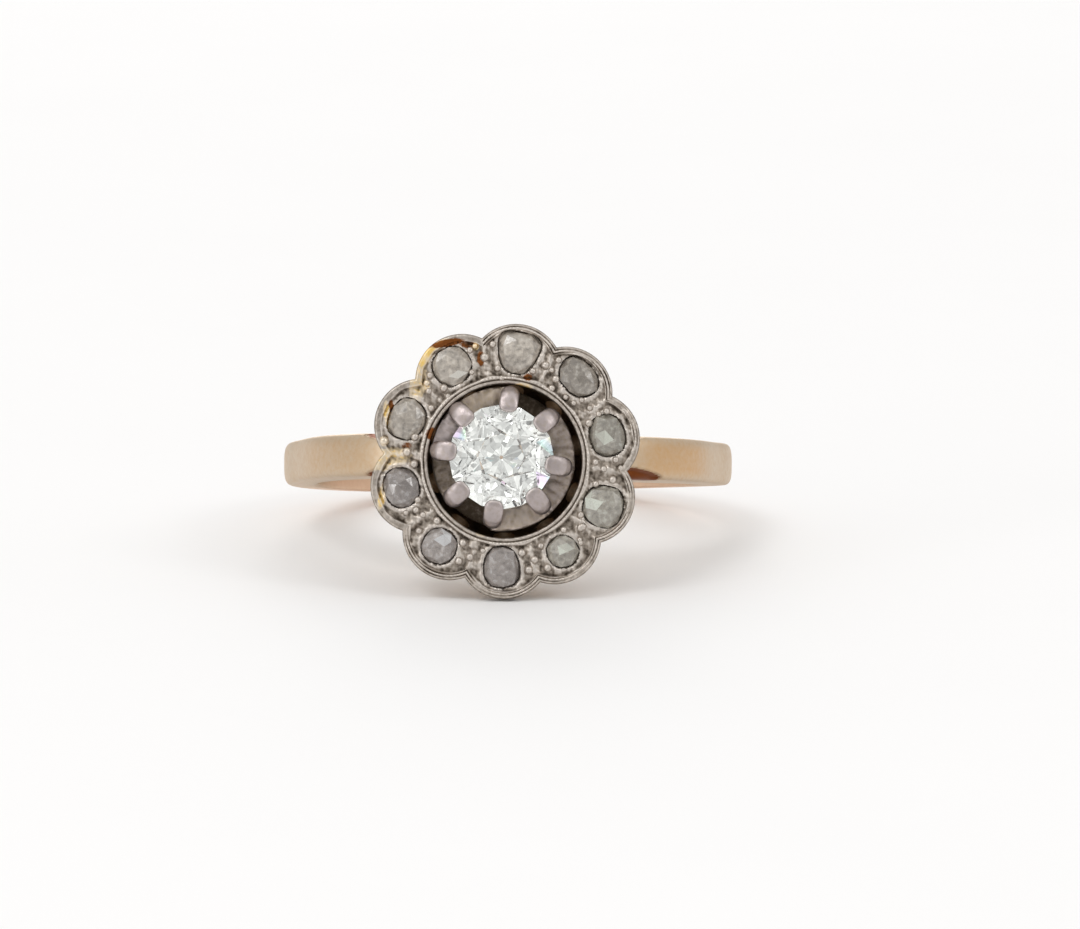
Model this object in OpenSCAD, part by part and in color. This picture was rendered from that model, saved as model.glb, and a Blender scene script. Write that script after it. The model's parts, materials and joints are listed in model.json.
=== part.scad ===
// Cluster ring, laid on its side as it rests on a table, with the stones facing forward (-Y).
// Each piece is drawn upright first, with the finger along Y and the stones facing up (+Z),
// and lay_down() then turns it over onto the edge of its lowest petal and the edge of its band.

/* [Band] */
// Inside diameter, the finger's size
bore_d = 17; // [15.4:0.1:20]
// Thickness of the metal at the sides of the band
side_thickness = 1.5; // [1.3:0.05:2]
// Thickness of the metal at the back of the band
back_thickness = 1.3; // [1.1:0.05:1.8]
// Width of the band along the finger
band_width = 1.86; // [1.5:0.02:2.2]
// Rise of the shoulders above the round of the band, where they reach the head
shoulder_rise = 2; // [1.6:0.05:2.4]
// Width of the narrow tip of a shoulder, where it is soldered to the head
tip_width = 1.1; // [0.8:0.05:1.5]
// Height of the rounding on the outer face of the band
band_dome = 0.45; // [0.25:0.05:0.8]

/* [Head] */
// Height of the cluster's rim above the finger
head_height = 4.45; // [4:0.05:5.2]
// Distance of the head's middle to the left of the band's middle
head_left = 0.09; // [0:0.01:0.2]
// Distance of the head's middle towards the lower side of the band
head_low = 0.3; // [0:0.05:0.4]
// Reach of the petals from the middle of the head
petal_reach = 5.95; // [5.7:0.05:6.5]
// Radius of the round end of a petal
petal_end_r = 2.02; // [1.9:0.02:2.2]
// Thickness of the white metal plate of petals
plate_thickness = 0.65; // [0.55:0.05:0.9]
// Width of the raised rim along the edge of a petal
rim_width = 0.26; // [0.2:0.02:0.34]
// Depth of the sunk field inside the rim
field_depth = 0.13; // [0.08:0.01:0.18]
// Width of the ridge between two petals
ridge_width = 0.3; // [0.2:0.02:0.4]
// Diameter of the round opening for the middle collet
opening_d = 6.66; // [6.6:0.02:6.9]
// Width of the raised border around the opening
border_width = 0.26; // [0.2:0.02:0.34]
// Diameter of a polished grain that holds the small stones
grain_d = 0.3; // [0.24:0.01:0.34]

/* [Gallery] */
// Height of the gold wall under the petals
flower_height = 1; // [0.8:0.05:1.2]
// Distance by which the foot of that wall stands back from its top
flower_taper = 0.42; // [0.36:0.02:0.5]
// Height of the open basket under the wall
basket_height = 1.85; // [1.5:0.05:2.1]
// Distance by which the basket's top stands back from the reach of the petals
basket_back = 1.05; // [0.95:0.05:1.15]
// Outside diameter of the basket at its foot
basket_foot_d = 6.8; // [6.6:0.05:7.2]
// Thickness of the metal of the basket
basket_wall = 0.6; // [0.5:0.05:0.7]
// Width of the windows of the basket
window_width = 0.9; // [0.6:0.05:1.1]
// Diameter of the open hole behind each small stone, as a share of the stone's width
back_hole_share = 0.8; // [0.6:0.02:0.88]

/* [Middle stone] */
// Diameter of the middle stone
stone_d = 4.56; // [4.3:0.02:4.7]
// Height of the stone's girdle above the rim of the cluster
stone_rise = 0.2; // [0:0.05:0.4]
// Height of the crown of the stone
crown_height = 0.78; // [0.6:0.02:0.9]
// Depth of the pavilion of the stone
pavilion_depth = 1.95; // [1.7:0.05:2]
// Width of the table as a share of the stone's diameter
table_share = 0.5; // [0.42:0.01:0.58]
// Width of the flat culet as a share of the stone's diameter
culet_share = 0.14; // [0.06:0.01:0.18]
// Height of the girdle of the stone
girdle_height = 0.07; // [0.04:0.01:0.1]

/* [Collet] */
// Clearance round the claws of the collet in the opening
claw_clearance = 0.28; // [0.2:0.01:0.34]
// Clearance round the foot of the collet in the basket
foot_clearance = 0.45; // [0.4:0.05:0.6]
// Shift of the collet to the left, as a share of the clearance round its claws
collet_left_share = 0.54; // [0:0.02:0.58]
// Shift of the collet upwards in the picture, as a share of the clearance round its claws
collet_high_share = 0.57; // [0:0.01:0.58]
// Distance by which the claws stand proud of the wall of the collet
claw_proud = 0.08; // [0.04:0.01:0.12]
// Width of a claw
claw_width = 0.84; // [0.7:0.02:0.9]
// Length of a claw over the edge of the stone
claw_lap = 0.36; // [0.24:0.02:0.44]
// Thickness of the metal of a claw over the stone
claw_thickness = 0.3; // [0.22:0.02:0.36]
// Depth of the gaps between the claws, from the stone's girdle
gap_depth = 0.85; // [0.6:0.05:1]

/* [Small stones] */
// Mean width of a small stone, as a share of the room between the opening's border and the rim
rose_share = 0.76; // [0.66:0.02:0.78]
// Height of a small stone
rose_height = 0.52; // [0.4:0.02:0.6]
// Depth of the seat of a small stone below the rim
seat_depth = 0.36; // [0.3:0.02:0.42]

/* [Hidden] */

// Clearances and overlaps
stone_gap = 0.02;
solder_gap = 0.02;
wall_back = 0.14;
cut_over = 0.5;
round_steps = 64;
bore_steps = 180;
band_spare = 0.3;
neck_spare = 0.2;
grain_steps = 20;
end_steps = 8;
seam_lap = 0.1;
back_hole_depth = 0.3;

// Bore and band, in the upright ring
bore_r = bore_d / 2;
side_r = bore_r + side_thickness;
back_r = bore_r + back_thickness;
foot_gap = 0.2;

// Angles round the band, counted from the top of the head: where a shoulder starts to rise and is
// fully risen, and where its corners start and end
rise_start = 74;
rise_end = 26;
neck_start = 35;
neck_end = 28;
band_step = 4;

// Bridge that is soldered between the tip of each shoulder and the basket
bridge_lap = 1.2;
bridge_proud = 0.03;
bridge_drop = 0.08;
bridge_clear = 0.04;

// Levels of the head above the finger's axis
rim_z = bore_r + head_height;
plate_z = rim_z - plate_thickness;
flower_top_z = plate_z - solder_gap;
basket_top_z = flower_top_z - flower_height;
ledge_z = basket_top_z - basket_height;
foot_z = bore_r - cut_over;
girdle_z = rim_z + stone_rise;
field_z = rim_z - field_depth;
seat_z = rim_z - seat_depth;

// Petals, clockwise from the one at the top of the picture
petal_count = 10;
petal_pitch = 360 / petal_count;
first_petal = 86;
petal_offset = petal_reach - petal_end_r;
// Small turns of the petals from an even spacing, in degrees
petal_drift = [-3, -2, 0, -1.5, 1, 3.5, 2.5, 2, -1, -4];
// Shapes of the small stones: width across the petal, length along it, and shifts to the left
// and outwards, as shares of rose_d, then their turn in degrees, squareness and taper
rose_table = [
  [1.10, 1.14, 0.00, 0.04, -6, 2.8, 0.28],
  [1.18, 0.90, 0.04, 0.10, -8, 2.3, 0.10],
  [1.14, 0.95, 0.00, -0.05, 0, 2.3, 0.00],
  [1.12, 1.08, -0.06, 0.02, 10, 2.5, 0.05],
  [0.86, 0.86, -0.02, 0.00, 0, 2.1, 0.00],
  [0.98, 1.12, -0.06, -0.04, 6, 2.3, 0.10],
  [0.94, 0.96, 0.00, 0.00, 20, 2.2, 0.00],
  [1.08, 0.94, -0.08, -0.03, 0, 2.3, 0.05],
  [1.12, 0.98, 0.00, -0.04, -6, 2.4, 0.08],
  [1.06, 1.02, 0.06, 0.03, 0, 2.2, 0.00],
];
rose_sides = 12;

// Places of the small stones, midway between the border of the opening and the rim
opening_r = opening_d / 2;
border_r = opening_r + border_width;
field_reach = petal_reach - rim_width;
rose_distance = (border_r + field_reach) / 2;
rose_d = (field_reach - border_r) * rose_share;
back_hole_r = rose_d * back_hole_share / 2;

// Grains on the ridge after each petal: places from the border of the opening to the valley
// between the petals, as shares of that way
grain_table = [
  [0.02, 0.28, 0.58, 0.88],
  [0.02, 0.28, 0.60, 0.90],
  [0.04, 0.32, 0.64, 0.92],
  [0.02, 0.25, 0.56, 0.90],
  [0.03, 0.29, 0.60, 0.88],
  [0.02, 0.28, 0.60, 0.92],
  [0.04, 0.33, 0.64, 0.94],
  [0.02, 0.30, 0.58, 0.93],
  [0.04, 0.30, 0.60, 0.94],
  [0.02, 0.25, 0.56, 0.86],
];

// Claws, anticlockwise from the one at the right, with the small turn of each from an even
// spacing in degrees, and the depth of the gap that follows it as a share of gap_depth
claw_count = 8;
claw_pitch = 360 / claw_count;
first_claw = -6;
claw_table = [[-3, 1], [0, 1.5], [-2, 1], [4, 1], [0, 1], [1, 1.5], [-2, 0.9], [1, 1]];

// Stone proportions
stone_r = stone_d / 2;
table_r = stone_r * table_share;
culet_r = stone_r * culet_share;
star_share = 0.5;
lower_share = 0.42;

// Basket and collet
basket_foot_r = basket_foot_d / 2;
basket_top_r = petal_reach - basket_back;
hollow_foot_r = basket_foot_r - basket_wall;
collet_r = opening_r - claw_clearance;
collet_left = claw_clearance * collet_left_share;
collet_high = claw_clearance * collet_high_share;
collet_foot_r = hollow_foot_r - foot_clearance;
collet_wall = 0.62;
claw_inner_r = stone_r - claw_lap;
collet_hole_r = collet_foot_r - collet_wall;
ledge_hole_r = collet_hole_r - collet_left;

function smooth(t) = t * t * (3 - 2 * t);
function limit01(t) = max(0, min(1, t));
function mix(a, b, t) = a + (b - a) * t;
function petal_angle(k) = first_petal - k * petal_pitch + petal_drift[k % petal_count];
function next_petal(k) = k == petal_count - 1 ? petal_angle(0) - 360 : petal_angle(k + 1);
function ridge_angle(k) = (petal_angle(k) + next_petal(k)) / 2;
function ridge_before(k) = k == 0 ? ridge_angle(petal_count - 1) + 360 : ridge_angle(k - 1);
function claw_angle(k) = first_claw + k * claw_pitch + claw_table[k % claw_count][0];
function next_claw(k) = k == claw_count - 1 ? claw_angle(0) + 360 : claw_angle(k + 1);
function gap_angle(k) = (claw_angle(k) + next_claw(k)) / 2;
function ridge_half(k) = (petal_angle(k) - next_petal(k)) / 2;
function valley_r(k) = let (h = ridge_half(k))
  petal_offset * cos(h) + sqrt(petal_end_r * petal_end_r - pow(petal_offset * sin(h), 2));
function polar(r, a) = [r * cos(a), r * sin(a)];

// Outer radius of the band at angle t from the top of the head
function band_r(t) = t > 90
  ? mix(side_r, back_r, smooth((t - 90) / 90))
  : side_r + shoulder_rise * smooth(limit01((rise_start - t) / (rise_start - rise_end)));

// Plates that the band is built up from, widest first: width as a share of the band's, and how far
// its edge lies below the outer face as a share of the dome
edge_table = [
  [1.00, 1.00],
  [0.97, 0.62],
  [0.92, 0.34],
  [0.83, 0.14],
  [0.66, 0.00],
];

// Side view of the band, from the tip of the right shoulder round the back to the left one
half_stations = [for (t = [neck_end : band_step : 180 - band_step]) t];
other_half = [for (j = [len(half_stations) - 1 : -1 : 0]) 360 - half_stations[j]];
stations = concat(half_stations, [180], other_half);
function from_top(r, a) = [r * sin(a), r * cos(a)];
function band_side(drop) = concat(
  [for (a = stations) from_top(band_r(a > 180 ? 360 - a : a) - drop, a)],
  [for (j = [len(stations) - 1 : -1 : 0]) from_top(bore_r - band_spare, stations[j])]);
band_corners = [for (row = edge_table) for (p = band_side(row[1] * band_dome)) for (side = [-1, 1])
  [p[0], side * row[0] * band_width / 2, p[1]]];

// Pose on the table: the upright ring tips over until the lowest petal and the band touch the floor
petal_middles = [for (k = [0 : petal_count - 1]) petal_offset * sin(petal_angle(k))];
petal_low = head_low + petal_end_r - min(petal_middles);
// Lower corners of the head, on the plate and on the two steps of the petal wall: [depth, level]
low_corners = [
  [petal_low, plate_z],
  [petal_low - wall_back, basket_top_z + flower_height / 2],
  [petal_low - wall_back - flower_taper, basket_top_z],
];
function tilt_on(c) = min([for (p = band_corners) if (p[2] < 0) atan((c[0] + p[1]) / (c[1] - p[2]))]);
lie_tilt = max([for (c = low_corners) tilt_on(c)]);
floor_height = max([for (c = low_corners) c[0] * cos(lie_tilt) - c[1] * sin(lie_tilt)]);
front_y = -cos(lie_tilt) * (girdle_z + crown_height);
back_y = cos(lie_tilt) * back_r;

module lay_down() {
  translate([0, -(front_y + back_y) / 2, floor_height])
    rotate([90 - lie_tilt, 0, 0])
      children();
}

module on_head() {
  translate([-head_left, -head_low, 0])
    children();
}

module on_collet() {
  on_head()
    translate([-collet_left, collet_high, 0])
      children();
}

// Band with rising shoulders before its bore is cut, built up from plates to a domed outer face
module band_form() {
  rotate([90, 0, 0])
    for (row = edge_table)
      linear_extrude(height = row[0] * band_width, center = true)
        polygon(band_side(row[1] * band_dome));
}

// Corner that is cut from the upper edge of the right shoulder, where it narrows to its tip
module shoulder_corner() {
  half = band_width / 2;
  near_x = side_r * sin((neck_start - neck_end) / 2);
  rotate([0, (neck_start + neck_end) / 2, 0])
    linear_extrude(height = 2 * side_r)
      polygon([
        [near_x, half + neck_spare],
        [-2 * near_x, half + neck_spare],
        [-2 * near_x, tip_width / 2],
        [-near_x, tip_width / 2],
        [near_x, half]]);
}

// Band with its round bore and the cut corners of its shoulders
module band() {
  difference() {
    band_form();
    rotate([90, 0, 0])
      cylinder(h = 2 * band_width, r = bore_r, center = true, $fn = bore_steps);
    for (x = [0, 1], y = [0, 1])
      mirror([x, 0, 0])
        mirror([0, y, 0])
          shoulder_corner();
  }
}

// Outline of ten petals with end arcs of radius r
module petals(r) {
  for (k = [0 : petal_count - 1])
    rotate(petal_angle(k))
      translate([petal_offset, 0])
        circle(r = r, $fn = round_steps);
  circle(r = petal_offset, $fn = round_steps);
}

// Petal-shaped wall of the gallery, which narrows in a step towards its foot
module flower_wall() {
  translate([0, 0, basket_top_z])
    linear_extrude(height = flower_height)
      petals(petal_end_r - wall_back - flower_taper);
  translate([0, 0, basket_top_z + flower_height / 2])
    linear_extrude(height = flower_height / 2)
      petals(petal_end_r - wall_back);
}

// Solid form of the gold gallery: petal wall, basket and foot
module gallery_form() {
  flower_wall();
  rotate_extrude($fn = round_steps)
    polygon([
      [0, foot_z],
      [basket_foot_r, foot_z],
      [basket_foot_r, ledge_z],
      [basket_top_r, basket_top_z + seam_lap],
      [0, basket_top_z + seam_lap]]);
}

// Hollow of the gallery, which the collet stands in, and the hole in its ledge
module gallery_hollow() {
  rotate_extrude($fn = round_steps)
    polygon([
      [0, foot_z - cut_over],
      [ledge_hole_r, foot_z - cut_over],
      [ledge_hole_r, ledge_z],
      [hollow_foot_r, ledge_z],
      [border_r, basket_top_z],
      [border_r, rim_z],
      [0, rim_z]]);
}

// Windows of the basket, one under each petal, clear of the ribs that the shoulders meet
module gallery_windows() {
  window_z = ledge_z + basket_height / 2;
  for (k = [0 : petal_count - 1])
    rotate(petal_angle(k))
      translate([collet_hole_r, 0, window_z])
        rotate([0, 90, 0])
          cylinder(h = petal_reach, d = window_width, $fn = round_steps);
}

// Bridge from the tip of the right shoulder into the wall of the basket
module bridge() {
  start = 90 - neck_end - bridge_lap;
  low_r = bore_r + foot_gap + bridge_clear;
  foot_x = (basket_foot_r + hollow_foot_r) / 2;
  rotate([90, 0, 0])
    linear_extrude(height = tip_width + 2 * bridge_proud, center = true)
      polygon([
        polar(low_r, start),
        polar(side_r + shoulder_rise + bridge_proud, start),
        [(basket_top_r + border_r) / 2, basket_top_z - bridge_drop],
        [foot_x, ledge_z],
        [foot_x, sqrt(low_r * low_r - foot_x * foot_x)]]);
}

// Open holes behind the small stones, from under the petals up to the plate
module back_holes() {
  for (k = [0 : petal_count - 1])
    rotate(petal_angle(k))
      translate([rose_distance, 0, basket_top_z - back_hole_depth])
        cylinder(h = flower_height + cut_over, r = back_hole_r, $fn = round_steps);
}

// Gallery with its hollow, windows and holes, cut to the round of the finger
module gallery() {
  difference() {
    on_head()
      difference() {
        gallery_form();
        gallery_hollow();
        gallery_windows();
        back_holes();
      }
    rotate([90, 0, 0])
      cylinder(h = 4 * petal_reach, r = bore_r + foot_gap, center = true, $fn = 2 * round_steps);
  }
}

// Gold band, shoulders and gallery, soldered into one
module shank() {
  color([0.80, 0.68, 0.50])
    lay_down() {
      band();
      bridge();
      mirror([1, 0, 0])
        bridge();
      gallery();
    }
}

// Outline of a small stone, grown by a clearance: a rounded form with its own squareness and taper
function rose_radius(a, power) = 1 / pow(pow(abs(cos(a)), power) + pow(abs(sin(a)), power), 1 / power);
function rose_point(k, a, share, grow) =
  let (row = rose_table[k], r = rose_radius(a, row[5]) * share)
  let (out = r * cos(a) * row[1] * rose_d / 2, side = r * sin(a) * row[0] * rose_d / 2)
  let (wide = side * (1 + row[6] * r * cos(a)))
  [out + grow * cos(a), wide + grow * sin(a)];
function rose_ring(k, share, grow, sides, z) =
  [for (j = [0 : sides - 1]) let (p = rose_point(k, 360 * j / sides, share, grow)) [p[0], p[1], z]];

module at_rose(k) {
  row = rose_table[k];
  on_head()
    rotate(petal_angle(k))
      translate([rose_distance + row[3] * rose_d, row[2] * rose_d, seat_z])
        rotate(row[4])
          children();
}

// Small stone with a flat base, a thin edge, and a crown of triangles under a small table
module rose_stone(number) {
  k = number - 1;
  edge_share = 0.3;
  mid_share = 0.6;
  mid_height = 0.84;
  tip_share = 0.26;
  n = rose_sides;
  h = n / 2;
  points = concat(
    rose_ring(k, 1, 0, n, 0),
    rose_ring(k, 1, 0, n, rose_height * edge_share),
    rose_ring(k, mid_share, 0, h, rose_height * mid_height),
    rose_ring(k, tip_share, 0, h, rose_height));
  base = [[for (j = [0 : n - 1]) j]];
  edge = [for (j = [0 : n - 1])
    let (next = (j + 1) % n)
    for (f = [[j, n + j, n + next], [j, n + next, next]]) f];
  crown = [for (i = [0 : h - 1])
    let (a = n + 2 * i, b = n + 2 * i + 1, c = n + (2 * i + 2) % n)
    let (u = 2 * n + i, v = 2 * n + (i + 1) % h, s = u + h, t = v + h)
    for (f = [[u, b, a], [u, v, b], [v, c, b], [u, s, v], [s, t, v]]) f];
  table = [[for (i = [h - 1 : -1 : 0]) 2 * n + h + i]];
  color([0.80, 0.82, 0.80])
    lay_down()
      at_rose(k)
        polyhedron(points, concat(base, edge, crown, table));
}

// Seat of a small stone in the plate
module rose_seat(k) {
  at_rose(k)
    translate([0, 0, -stone_gap])
      linear_extrude(height = seat_depth + cut_over)
        polygon([for (j = [0 : rose_sides - 1]) rose_point(k, 360 * j / rose_sides, 1, stone_gap)]);
}

// Outline of the plate of petals
module plate_outline() {
  difference() {
    petals(petal_end_r);
    circle(r = opening_r, $fn = round_steps);
  }
}

// Sunk field of petal k, between its two ridges, its rim and the border of the opening
module petal_field(k) {
  from = ridge_angle(k);
  to = ridge_before(k);
  far = 2 * petal_reach;
  half_ridge = ridge_width / 2;
  difference() {
    intersection() {
      rotate(petal_angle(k))
        translate([petal_offset, 0])
          circle(r = petal_end_r - rim_width, $fn = round_steps);
      polygon([
        polar(half_ridge / sin((to - from) / 2), (from + to) / 2),
        polar(far, from) + polar(half_ridge, from + 90),
        polar(far, to) - polar(half_ridge, to + 90)]);
    }
    circle(r = border_r, $fn = round_steps);
  }
}

// Polished grains along the ridges
module grains() {
  for (k = [0 : petal_count - 1])
    for (share = grain_table[k])
      translate(concat(polar(mix(border_r, valley_r(k), share), ridge_angle(k)), [rim_z]))
        sphere(d = grain_d, $fn = grain_steps);
}

// White metal plate of ten petals with its rims, sunk fields, seats and grains
module cluster() {
  color([0.60, 0.57, 0.54])
    lay_down()
      union() {
        difference() {
          on_head()
            translate([0, 0, plate_z])
              linear_extrude(height = plate_thickness)
                plate_outline();
          on_head()
            translate([0, 0, field_z])
              linear_extrude(height = plate_thickness)
                for (k = [0 : petal_count - 1])
                  petal_field(k);
          for (k = [0 : petal_count - 1])
            rose_seat(k);
        }
        on_head()
          grains();
      }
}

// Facet points of the middle stone
function stone_ring(r, count, turn, z) =
  [for (j = [0 : count - 1]) concat(polar(r, turn + j * 360 / count), [z])];

// Middle stone: an eight-sided table, star, kite and edge facets above, long facets and a culet below
module centre_stone() {
  half = 22.5;
  top = girdle_height / 2;
  star_r = mix(table_r, stone_r, star_share);
  star_z = top + crown_height * (stone_r - star_r * cos(half)) / (stone_r - table_r);
  low_r = stone_r * (1 - lower_share);
  low_z = -top - pavilion_depth * (stone_r - low_r * cos(half)) / (stone_r - culet_r * cos(half));
  points = concat(
    stone_ring(table_r, 8, 0, top + crown_height),
    stone_ring(star_r, 8, half, star_z),
    stone_ring(stone_r, 16, 0, top),
    stone_ring(stone_r, 16, 0, -top),
    stone_ring(low_r, 8, half, low_z),
    stone_ring(culet_r, 8, half, -top - pavilion_depth));
  table = [[for (j = [7 : -1 : 0]) j]];
  crown = [for (j = [0 : 7])
    let (i = (j + 1) % 8, p = (j + 7) % 8, g = 16 + 2 * j, e = 16 + 2 * j + 1, f = 16 + (2 * j + 2) % 16)
    for (q = [[j, i, 8 + j], [8 + j, e, g], [8 + j, f, e], [j, 8 + j, g, 8 + p]]) q];
  girdle = [for (j = [0 : 15]) [16 + j, 16 + (j + 1) % 16, 32 + (j + 1) % 16, 32 + j]];
  pavilion = [for (j = [0 : 7])
    let (p = (j + 7) % 8, g = 32 + 2 * j, e = 32 + 2 * j + 1, f = 32 + (2 * j + 2) % 16)
    for (q = [[48 + j, g, e], [48 + j, e, f], [56 + p, 48 + p, g, 48 + j, 56 + j]]) q];
  culet = [[for (j = [0 : 7]) 56 + j]];
  color([0.85, 0.90, 0.88])
    lay_down()
      on_collet()
        translate([0, 0, girdle_z])
          rotate(first_claw)
            polyhedron(points, concat(table, crown, girdle, pavilion, culet));
}

// Room that the middle stone takes, with its clearance
module stone_room() {
  top = girdle_height / 2 + stone_gap;
  r = stone_r + stone_gap;
  translate([0, 0, girdle_z])
    rotate_extrude($fn = round_steps)
      polygon([
        [0, -top - pavilion_depth - stone_gap],
        [culet_r + stone_gap, -top - pavilion_depth],
        [r, -top],
        [r, top],
        [table_r + stone_gap, top + crown_height],
        [0, top + crown_height]]);
}

// Claw seen from the side, from the collet's wall up over the edge of the stone
module claw_side() {
  past = 0.3;
  bevel = claw_thickness / 2;
  lap_z = girdle_z + crown_height * claw_lap / (stone_r - table_r) + stone_gap;
  root_z = girdle_z - 1.8 * gap_depth;
  root_r = mix(collet_foot_r, collet_r, (root_z - ledge_z) / (girdle_z - ledge_z)) - collet_wall / 2;
  polygon([
    [root_r, root_z],
    [collet_r + past, girdle_z - gap_depth / 2],
    [collet_r + past, girdle_z + bevel],
    [collet_r - bevel, girdle_z + claw_thickness + bevel],
    [claw_inner_r + bevel, lap_z + claw_thickness],
    [claw_inner_r - past, lap_z + bevel],
    [claw_inner_r - past, girdle_z],
    [stone_r - bevel, girdle_z - bevel]]);
}

// Outline of a claw from above, with round ends
function claw_end(middle, turn) =
  [for (j = [0 : end_steps]) [middle, 0] + polar(claw_width / 2, turn + 180 * j / end_steps)];

// Claw with round ends, as the side form cut to its outline from above
module claw() {
  intersection() {
    rotate([90, 0, 0])
      linear_extrude(height = 2 * claw_width, center = true)
        claw_side();
    translate([0, 0, ledge_z])
      linear_extrude(height = rim_z)
        polygon(concat(
          claw_end(collet_r - claw_width / 2, -90),
          claw_end(claw_inner_r + claw_width / 2, 90)));
  }
}

// Gap between two claws, as a slot with a round bottom that runs outwards through the wall
module claw_gap(bottom_z) {
  gap_r = PI * collet_r / claw_count - claw_width / 4;
  translate([claw_inner_r, 0, bottom_z + gap_r])
    rotate([90, 0, 90])
      linear_extrude(height = 2 * collet_r)
        polygon(concat(
          [for (j = [0 : end_steps]) polar(gap_r, 180 + 180 * j / end_steps)],
          [[gap_r, 2 * collet_r], [-gap_r, 2 * collet_r]]));
}

// Tapered wall of the collet, cut down between the claws
module collet_wall_form() {
  foot = ledge_z + solder_gap;
  tall = girdle_z - foot;
  wall_top_r = collet_r - claw_proud;
  hollow_top_r = wall_top_r - collet_wall;
  difference() {
    translate([0, 0, foot])
      cylinder(h = tall, r1 = collet_foot_r, r2 = wall_top_r, $fn = round_steps);
    translate([0, 0, foot - cut_over])
      cylinder(h = tall + 2 * cut_over, r1 = collet_hole_r, r2 = hollow_top_r, $fn = round_steps);
    for (k = [0 : claw_count - 1])
      rotate(gap_angle(k))
        claw_gap(girdle_z - gap_depth * claw_table[k][1]);
  }
}

// White metal collet with eight claws
module collet() {
  color([0.72, 0.69, 0.67])
    lay_down()
      on_collet()
        difference() {
          union() {
            collet_wall_form();
            for (k = [0 : claw_count - 1])
              rotate(claw_angle(k))
                claw();
          }
          stone_room();
        }
}

shank();
cluster();
collet();
centre_stone();
rose_stone(1);  // rose_1
rose_stone(2);  // rose_2
rose_stone(3);  // rose_3
rose_stone(4);  // rose_4
rose_stone(5);  // rose_5
rose_stone(6);  // rose_6
rose_stone(7);  // rose_7
rose_stone(8);  // rose_8
rose_stone(9);  // rose_9
rose_stone(10);  // rose_10
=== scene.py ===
import json
import math

import bpy
import numpy as np
from mathutils import Matrix, Vector


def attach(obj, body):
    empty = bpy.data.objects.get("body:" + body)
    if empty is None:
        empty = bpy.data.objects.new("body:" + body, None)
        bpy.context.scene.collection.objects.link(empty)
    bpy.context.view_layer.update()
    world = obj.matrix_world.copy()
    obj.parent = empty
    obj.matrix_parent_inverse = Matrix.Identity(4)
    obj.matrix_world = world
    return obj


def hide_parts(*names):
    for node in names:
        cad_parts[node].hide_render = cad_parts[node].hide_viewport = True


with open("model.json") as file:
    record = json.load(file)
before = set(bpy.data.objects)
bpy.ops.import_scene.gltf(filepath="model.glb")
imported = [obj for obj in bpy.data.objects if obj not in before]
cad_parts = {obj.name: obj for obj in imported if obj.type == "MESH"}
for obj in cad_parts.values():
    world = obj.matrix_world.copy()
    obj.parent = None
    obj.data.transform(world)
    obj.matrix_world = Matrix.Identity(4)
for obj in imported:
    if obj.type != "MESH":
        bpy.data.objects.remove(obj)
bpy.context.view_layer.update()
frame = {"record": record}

# Everything is shaped upright and in millimetres: x to the right, y along the finger and z out of the
# stones. At the end each piece is laid on its side, with the lean of the finger bore.
bore = frame["record"]["mounts"][0]
lean = math.asin(bore["axis"][1])
layDown = Matrix.Translation(bore["pos_m"]) @ Matrix.Rotation(math.pi / 2 - lean, 4, "X") @ Matrix.Scale(0.001, 4)
print("ring leans", round(math.degrees(lean), 2), "degrees")


# small helpers for the modelling

def freshStart():
    if bpy.context.object and bpy.context.object.mode != "OBJECT":
        bpy.ops.object.mode_set(mode="OBJECT")
    bpy.ops.object.select_all(action="DESELECT")


def takeUp(piece):
    freshStart()
    piece.select_set(True)
    bpy.context.view_layer.objects.active = piece


def newPiece(name, addPrimitive, **sizes):
    freshStart()
    addPrimitive(**sizes)
    piece = bpy.context.object
    piece.name = name
    piece.data.name = name
    return piece


def pointsOf(piece):
    flat = np.empty(len(piece.data.vertices) * 3, np.float32)
    piece.data.vertices.foreach_get("co", flat)
    return flat.reshape(-1, 3).astype(float)


def movePoints(piece, points):
    piece.data.vertices.foreach_set("co", np.ascontiguousarray(points, np.float32).ravel())
    piece.data.update()


def paint(piece, name, values, domain="POINT"):
    layer = piece.data.attributes.get(name) or piece.data.attributes.new(name, "FLOAT", domain)
    layer.data.foreach_set("value", np.ascontiguousarray(values, np.float32).ravel())


def useModifier(piece, kind, **settings):
    modifier = piece.modifiers.new(kind.title(), kind)
    for name, value in settings.items():
        setattr(modifier, name, value)
    takeUp(piece)
    bpy.ops.object.modifier_apply(modifier=modifier.name)


def editAll(piece, *steps):
    # runs edit mode steps on the whole mesh
    takeUp(piece)
    bpy.ops.object.mode_set(mode="EDIT")
    bpy.ops.mesh.select_all(action="SELECT")
    for step in steps:
        step()
    bpy.ops.object.mode_set(mode="OBJECT")


def turnOutwards():
    bpy.ops.mesh.normals_make_consistent(inside=False)


def copyPiece(piece, name):
    freshStart()
    twin = piece.copy()
    twin.data = piece.data.copy()
    twin.name = name
    twin.data.name = name
    bpy.context.collection.objects.link(twin)
    return twin


def joinPieces(pieces, name):
    freshStart()
    for piece in pieces:
        piece.select_set(True)
    bpy.context.view_layer.objects.active = pieces[0]
    bpy.ops.object.join()
    pieces[0].name = name
    pieces[0].data.name = name
    return pieces[0]


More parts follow.
